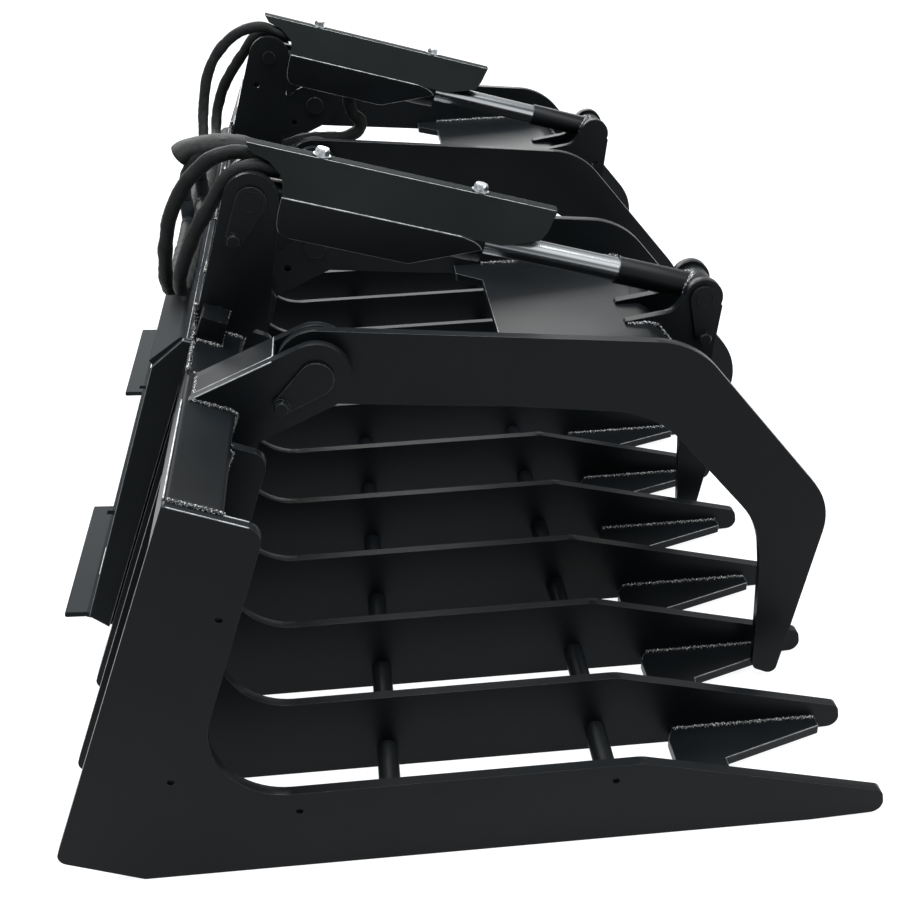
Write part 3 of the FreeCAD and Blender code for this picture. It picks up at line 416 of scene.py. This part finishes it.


# Weld seams
# Wire-welded fillets that fix the pieces to each other before the coat goes on. Each is a rippled
# bead in the corner of its joint, and the coat on it is glossy and bumpy; pale flecks in its colour are painted
# glints.
MIDDLE = 1066.9
FRONT = 437.6
BEAD = 0.0042
RIPPLE = 0.0065
RING = 0.0016
BEAD_SIDES = 8
weld_coat, tree = finish_named("powder_coated_weld_painted_glints")
SPATTER_AND_GLINT_MM = 2.6
spot = add(tree, "TexCoord")
spatter_and_glint_noise = add(tree, "TexNoise", {"Scale": 1000 / SPATTER_AND_GLINT_MM, "Detail": 2.0}, {"Vector": spot.outputs["Object"]})
rough = add(tree, "Bump", {"Strength": 0.8, "Distance": 0.0012}, {"Height": spatter_and_glint_noise.outputs["Fac"]})
weld_glint_tone = add(tree, "ValToRGB", {}, {"Fac": spatter_and_glint_noise.outputs["Fac"]})
weld_glint_tone.color_ramp.elements[0].position, weld_glint_tone.color_ramp.elements[0].color = 0.54, linear("#121517")
weld_glint_tone.color_ramp.elements[1].position, weld_glint_tone.color_ramp.elements[1].color = 0.68, linear("#c9cdd0")
shiny = add(tree, "BsdfPrincipled", {"IOR": 1.5, "Specular IOR Level": 0.5, "Roughness": 0.12},
            {"Base Color": weld_glint_tone.outputs[0], "Normal": rough.outputs[0]})
add(tree, "OutputMaterial", {}, {"Surface": shiny.outputs[0]})


def in_section(station, u, z):
    return Vector(((station - MIDDLE) / 1000, (FRONT - u) / 1000, z / 1000))


def bead_radius(seed):
    def at(k, place):
        swell = abs(math.sin(math.pi * k * RING / RIPPLE))
        wander = noise.noise(Vector((place.x, place.y, place.z)) * 160 + Vector((seed, 0, 0)))
        return BEAD * (0.72 + 0.28 * swell + 0.18 * wander)
    return at


def weld(name, runs, body="frame"):
    for k, corners in enumerate(runs):
        points, length = spaced([in_section(*c) for c in corners], RING)
        bead = tube_mesh("%s_%d" % (name, k + 1), points, bead_radius(k * 1.7), BEAD_SIDES)
        bead.data.materials.append(weld_coat)
        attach(bead, body)


def both_sides(runs):
    return runs + [[(2 * MIDDLE - x, u, z) for x, u, z in run] for run in runs]


PLATE = 15.9
TINES = [0.0] + [187.3 + 193.7 * k for k in range(10)] + [2117.9]
weld("tube_end_weld", both_sides([[(PLATE + 1.5, 103, 587), (PLATE + 1.5, 166, 562.4), (PLATE + 1.5, 169.4, 556),
                                   (PLATE + 1.5, 144, 493)]]))
weld("spreader_weld", [[(x, 777, 25.5), (x, 995, 25.5)]
                       for a, b in zip(TINES, TINES[1:]) for x in (a + PLATE, b)])
weld("tine_weld", [[(x, 170.5, 556), (x, 144, 491)] for t in TINES[1:-1] for x in (t, t + PLATE)])
EARS = (290.0, 371.9, 814.0, 895.9)
weld("bracket_weld", both_sides([[(x, 108, 585.5), (x, 165, 563), (x, 170.6, 557), (x, 158, 525)] for x in EARS]))
weld("cover_weld", both_sides([[(306, 114.5, 584), (356, 114.5, 584)], [(830, 114.5, 584), (880, 114.5, 584)]]))
weld("hook_weld", [[(x, 98.5, 588), (x + 60, 98.5, 588)] for x in (484, 760, 1030, 1300, 1589)])
weld("tube_edge_weld", both_sides([[(376, 101, 588), (474, 101, 588)]]))
TOWER_FACE, BLOCK_END = 543.65, 488.65
TOWER_FAR, BLOCK_FAR = 642.25, 697.25
weld("tower_weld", both_sides([
    [(BLOCK_END, 103, 587), (BLOCK_END, 138.5, 572.8), (TOWER_FACE, 139.3, 572.4), (TOWER_FACE, 168, 561)],
    [(TOWER_FACE, 102, 590), (TOWER_FACE, 103.5, 622)],
    [(TOWER_FACE, 138, 575), (TOWER_FACE, 152.5, 607)],
    [(BLOCK_FAR, 103, 587), (BLOCK_FAR, 138.5, 572.8), (TOWER_FAR, 139.3, 572.4), (TOWER_FAR, 168, 561)]]))
for side, flip in (("left", 1), ("right", -1)):
    def jaw_side(runs):
        return [[(MIDDLE + flip * (x - MIDDLE), u, z) for x, u, z in run] for run in runs]
    weld("clevis_weld_" + side, jaw_side([
        [(x, 766, 541.5), (x, 799, 541.5), (x, 814, 537), (x, 884, 447)] for x in (TOWER_FACE, TOWER_FAR)]),
        "jaw_" + side)
    weld("cross_plate_weld_" + side, jaw_side([
        [(x, 566, 541.5), (x, 799, 541.5), (x, 814, 537), (x, 884, 447)] for x in (339.5, 846.4)]), "jaw_" + side)


# Guard sides
# A flat plate stands on each side of a guard, outside the foot of its slope, and laps over the
# tower's front edge. Its rim faces take the lighter edge finish, a painted highlight along its sheared top edge.
CYLINDER_BASE = (202.0, 776.0)
CYLINDER_END = (886.0, 576.0)
CYLINDER_FALL = math.atan2(CYLINDER_END[1] - CYLINDER_BASE[1], CYLINDER_END[0] - CYLINDER_BASE[0])
CYLINDER_STATION = 592.95
SIDE_OUTLINE = [(42.0, 15.5), (41.3, 0.0), (41.6, -18.0), (43.6, -30.0), (48.0, -38.0), (55.0, -42.8), (64.0, -44.0),
                (247.0, -44.0), (352.0, 1.5), (346.0, 7.5), (336.0, 12.0), (318.0, 15.5)]
LUG_OUTLINE = [(44.0, -33.0), (46.5, -52.0), (51.0, -72.0), (57.0, -68.0), (67.0, -54.0), (78.0, -43.0),
               (60.0, -38.0)]
SIDE_INNER, SIDE_OUTER, LUG_OUTER = 49.42, 51.6, 51.0


def along_cylinder(across, a, h):
    u = CYLINDER_BASE[0] + a * math.cos(CYLINDER_FALL) - h * math.sin(CYLINDER_FALL)
    z = CYLINDER_BASE[1] + a * math.sin(CYLINDER_FALL) + h * math.cos(CYLINDER_FALL)
    return in_section(CYLINDER_STATION + across, u, z)


def guard_side(name, outline, outer_face, direction, mirror, body, edge_finish):
    shape = bmesh.new()
    faces = []
    for across in (SIDE_INNER, outer_face):
        ring = []
        for a, h in outline:
            place = along_cylinder(direction * across, a, h)
            ring.append(shape.verts.new((mirror * place.x, place.y, place.z)))
        faces.append(ring)
    inner, outer = faces
    count = len(inner)
    shape.faces.new(inner)
    shape.faces.new(outer[::-1])
    for k in range(count):
        shape.faces.new((inner[k], outer[k], outer[(k + 1) % count], inner[(k + 1) % count]))
    bmesh.ops.recalc_face_normals(shape, faces=shape.faces)
    mesh = bpy.data.meshes.new(name)
    shape.to_mesh(mesh)
    shape.free()
    side_plate = bpy.data.objects.new(name, mesh)
    scene.collection.objects.link(side_plate)
    mesh.materials.append(coat_black)
    mesh.materials.append(edge_finish)
    bevel = side_plate.modifiers.new("rounded_edge", "BEVEL")
    bevel.width = 0.0009
    bevel.segments = 2
    bevel.limit_method = "ANGLE"
    bevel.angle_limit = math.radians(50)
    bevel.material = 1
    for face in mesh.polygons[2:]:
        face.material_index = 1
    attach(side_plate, body)


# Thin pale lines laid along folds and sheared edges are painted highlights.
line_painted_highlight, tree = finish_named("painted_highlight_line")
spot = add(tree, "TexCoord")
line_highlight_noise = add(tree, "TexNoise", {"Scale": 1000 / HIGHLIGHT_PATCH_MM, "Detail": 3.0}, {"Vector": spot.outputs["Object"]})
line_highlight_tone = add(tree, "ValToRGB", {}, {"Fac": line_highlight_noise.outputs["Fac"]})
line_highlight_tone.color_ramp.elements[0].position, line_highlight_tone.color_ramp.elements[0].color = 0.30, linear("#70767a")
line_highlight_tone.color_ramp.elements[1].position, line_highlight_tone.color_ramp.elements[1].color = 0.60, linear("#c3c8cb")
line_highlight_shader = add(tree, "BsdfPrincipled", {"IOR": 1.5, "Specular IOR Level": 0.8, "Roughness": 0.25},
             {"Base Color": line_highlight_tone.outputs[0]})
add(tree, "OutputMaterial", {}, {"Surface": line_highlight_shader.outputs[0]})
LINE_STEP = 0.008


def draw_highlight_line(name, corners, radius, body):
    points, length = spaced(corners, LINE_STEP)
    line = tube_mesh(name, points, lambda k, place: radius, 6)
    line.data.materials.append(line_painted_highlight)
    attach(line, body)


def mirrored(points, mirror):
    return [Vector((mirror * p.x, p.y, p.z)) for p in points]


RIDGE_FOLD, RIDGE_TOP = 12.13, 73.9
# Painted highlight lines along each guard side plate's top ledge and along the ridge fold.
for side, mirror in (("left", 1), ("right", -1)):
    body = "barrel_" + side
    for where, direction in (("outer", -1), ("inner", 1)):
        guard_side("guard_side_%s_%s" % (side, where), SIDE_OUTLINE, SIDE_OUTER, direction, mirror, body, edge_painted_highlight)
        guard_side("guard_lug_%s_%s" % (side, where), LUG_OUTLINE, LUG_OUTER, direction, mirror, body, coat_black)
        ledge = [along_cylinder(direction * (SIDE_INNER + 0.9), a, 15.3) for a in (43.0, 316.0)]
        fold = [along_cylinder(direction * RIDGE_FOLD, a, RIDGE_TOP) for a in (-22.0, 454.0)]
        draw_highlight_line("ledge_line_%s_%s" % (side, where), mirrored(ledge, mirror), 0.0009, body)
        draw_highlight_line("fold_line_%s_%s" % (side, where), mirrored(fold, mirror), 0.0009, body)

EAR_RISE = math.radians(22.8)
HINGE, EAR_RADIUS = (283.0, 604.0), 49.0


def on_ear_top(station, back):
    u = HINGE[0] - EAR_RADIUS * math.sin(EAR_RISE) - back * math.cos(EAR_RISE)
    z = HINGE[1] + EAR_RADIUS * math.cos(EAR_RISE) - back * math.sin(EAR_RISE)
    return in_section(station, u, z - 0.4)


# Painted highlight lines along the bracket ears' top edges and cover ends, the top tube's rear corner and the end
# tines' top edges.
for side, mirror in (("left", 1), ("right", -1)):
    for k, ear in ((0, EARS[0]), (2, EARS[2])):
        for where, station in (("joint", ear + PLATE), ("top", ear)):
            line = [on_ear_top(station, 163.0), on_ear_top(station, 42.0)]
            draw_highlight_line("ear_%s_line_%s_%d" % (where, side, k + 1), mirrored(line, mirror), 0.0010, "frame")
        end = [on_ear_top(x, 41.5) for x in (ear + PLATE, EARS[k + 1])]
        draw_highlight_line("cover_end_line_%s_%d" % (side, k + 1), mirrored(end, mirror), 0.0010, "frame")
    rear = [in_section(x, 99.6, 587.2) for x in (PLATE + 4, 286.0)]
    under = [in_section(x, 97.9, 580.5) for x in (PLATE + 4, 286.0)]
    draw_highlight_line("tube_corner_line_" + side, mirrored(rear, mirror), 0.0012, "frame")
    draw_highlight_line("tube_rear_line_" + side, mirrored(under, mirror), 0.0009, "frame")
    for where, x in (("outer", 1.05), ("inner", PLATE - 1.05)):
        top = [in_section(x, u, 588.0 - 0.394 * (u - 99.0)) for u in (104.0, 198.0)]
        draw_highlight_line("end_tine_%s_line_%s" % (where, side), mirrored(top, mirror), 0.0010, "frame")


# Rods
# Hard chrome on ground and polished bar. Its colour carries a painted reflection of the pale room and
# the dark plates round it: long light and dark bands, stretched along the bar, the same from every side.
chrome, tree = finish_named("hard_chrome_bar")
BAND_MM, BAND_LONG_MM = 11.0, 1400.0
spot = add(tree, "TexCoord")
along_bar = add(tree, "Mapping", {"vector_type": "TEXTURE", "Rotation": (-CYLINDER_FALL, 0, 0),
                                  "Scale": (BAND_MM / 1000, BAND_LONG_MM / 1000, BAND_MM / 1000)},
                {"Vector": spot.outputs["Object"]})
painted_reflection_bands = add(tree, "TexNoise", {"Scale": 1.0, "Detail": 2.0}, {"Vector": along_bar.outputs["Vector"]})
painted_reflection_tone = add(tree, "ValToRGB", {}, {"Fac": painted_reflection_bands.outputs["Fac"]})
painted_reflection_tone.color_ramp.elements[0].position, painted_reflection_tone.color_ramp.elements[0].color = 0.42, linear("#54585b")
painted_reflection_tone.color_ramp.elements[1].position, painted_reflection_tone.color_ramp.elements[1].color = 0.62, linear("#c4c8cb")
polish = add(tree, "MapRange", {"To Min": 0.14, "To Max": 0.26}, {"Value": painted_reflection_bands.outputs["Fac"]})
metal = add(tree, "BsdfPrincipled", {"Metallic": 1.0},
            {"Base Color": painted_reflection_tone.outputs[0], "Roughness": polish.outputs[0]})
add(tree, "OutputMaterial", {}, {"Surface": metal.outputs[0]})
for name in ("cylinder_left_rod", "cylinder_right_rod"):
    dress(name, chrome, 0)

# The rod end's sleeve is welded to its eye, where the round of the one meets the round of the other.
PIN_REACH = math.dist(CYLINDER_BASE, CYLINDER_END)
SLEEVE_RADIUS, EYE_RADIUS = 21.5, 25.5
for side, mirror in (("left", 1), ("right", -1)):
    seam = []
    for k in range(37):
        turn = 2 * math.pi * k / 36
        across, above = SLEEVE_RADIUS * math.sin(turn), SLEEVE_RADIUS * math.cos(turn)
        seam.append(along_cylinder(across, PIN_REACH - math.sqrt(EYE_RADIUS ** 2 - above ** 2), above))
    points, length = spaced(mirrored(seam, mirror), RING)
    eye_weld = tube_mesh("rod_eye_weld_" + side, points, bead_radius(9.0), BEAD_SIDES)
    eye_weld.data.materials.append(weld_coat)
    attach(eye_weld, "rod_" + side)


# Pins, keeper plates and bolts
# Each tower and rod pin is welded through its keeper plate and coated with it, so a thin ring shows
# round its end. The keeper bolts are coated too, and the flange bolts on the guards are zinc plated.
RING_R = 0.0007
RING_STEPS = 48
TOWER_RING, ROD_RING = 15.5, 12.7


def pin_ring(name, station, centre, radius, body, finish):
    around = [in_section(station, centre[0] + radius * math.cos(2 * math.pi * k / RING_STEPS),
                         centre[1] + radius * math.sin(2 * math.pi * k / RING_STEPS)) for k in range(RING_STEPS + 1)]
    ring = tube_mesh(name, around, lambda k, place: RING_R, 8)
    ring.data.materials.append(finish)
    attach(ring, body)


KEEPER_FACE = 537.25
for side, flip in (("left", 1), ("right", -1)):
    def station(x):
        return MIDDLE + flip * (x - MIDDLE)
    pin_ring("tower_pin_ring_" + side, station(KEEPER_FACE), CYLINDER_BASE, TOWER_RING, "frame", coat_black)
    pin_ring("rod_pin_ring_" + side, station(KEEPER_FACE), CYLINDER_END, ROD_RING, "jaw_" + side, coat_black)

zinc, tree = finish_named("bright_zinc_plate")
spot = add(tree, "TexCoord")
bloom = add(tree, "TexNoise", {"Scale": 1000 / 6, "Detail": 3.0}, {"Vector": spot.outputs["Object"]})
plating = add(tree, "ValToRGB", {}, {"Fac": bloom.outputs["Fac"]})
plating.color_ramp.elements[0].position, plating.color_ramp.elements[0].color = 0.3, linear("#7b8084")
plating.color_ramp.elements[1].position, plating.color_ramp.elements[1].color = 0.7, linear("#c4c8cb")
plated = add(tree, "BsdfPrincipled", {"Metallic": 1.0, "Roughness": 0.28}, {"Base Color": plating.outputs[0]})
add(tree, "OutputMaterial", {}, {"Surface": plated.outputs[0]})

for name, piece in nodes.items():
    stock = piece.material_slots[0].material.name
    if stock in ("pin_black", "bolt_black"):
        dress(name, coat_black, 0.0008, edge_painted_highlight)
    elif name == "hose_tees":
        dress(name, coat_dull_painted_paler, 0.0006)
    elif stock in ("zinc_bolt", "plated_fitting"):
        dress(name, zinc, 0.0006)
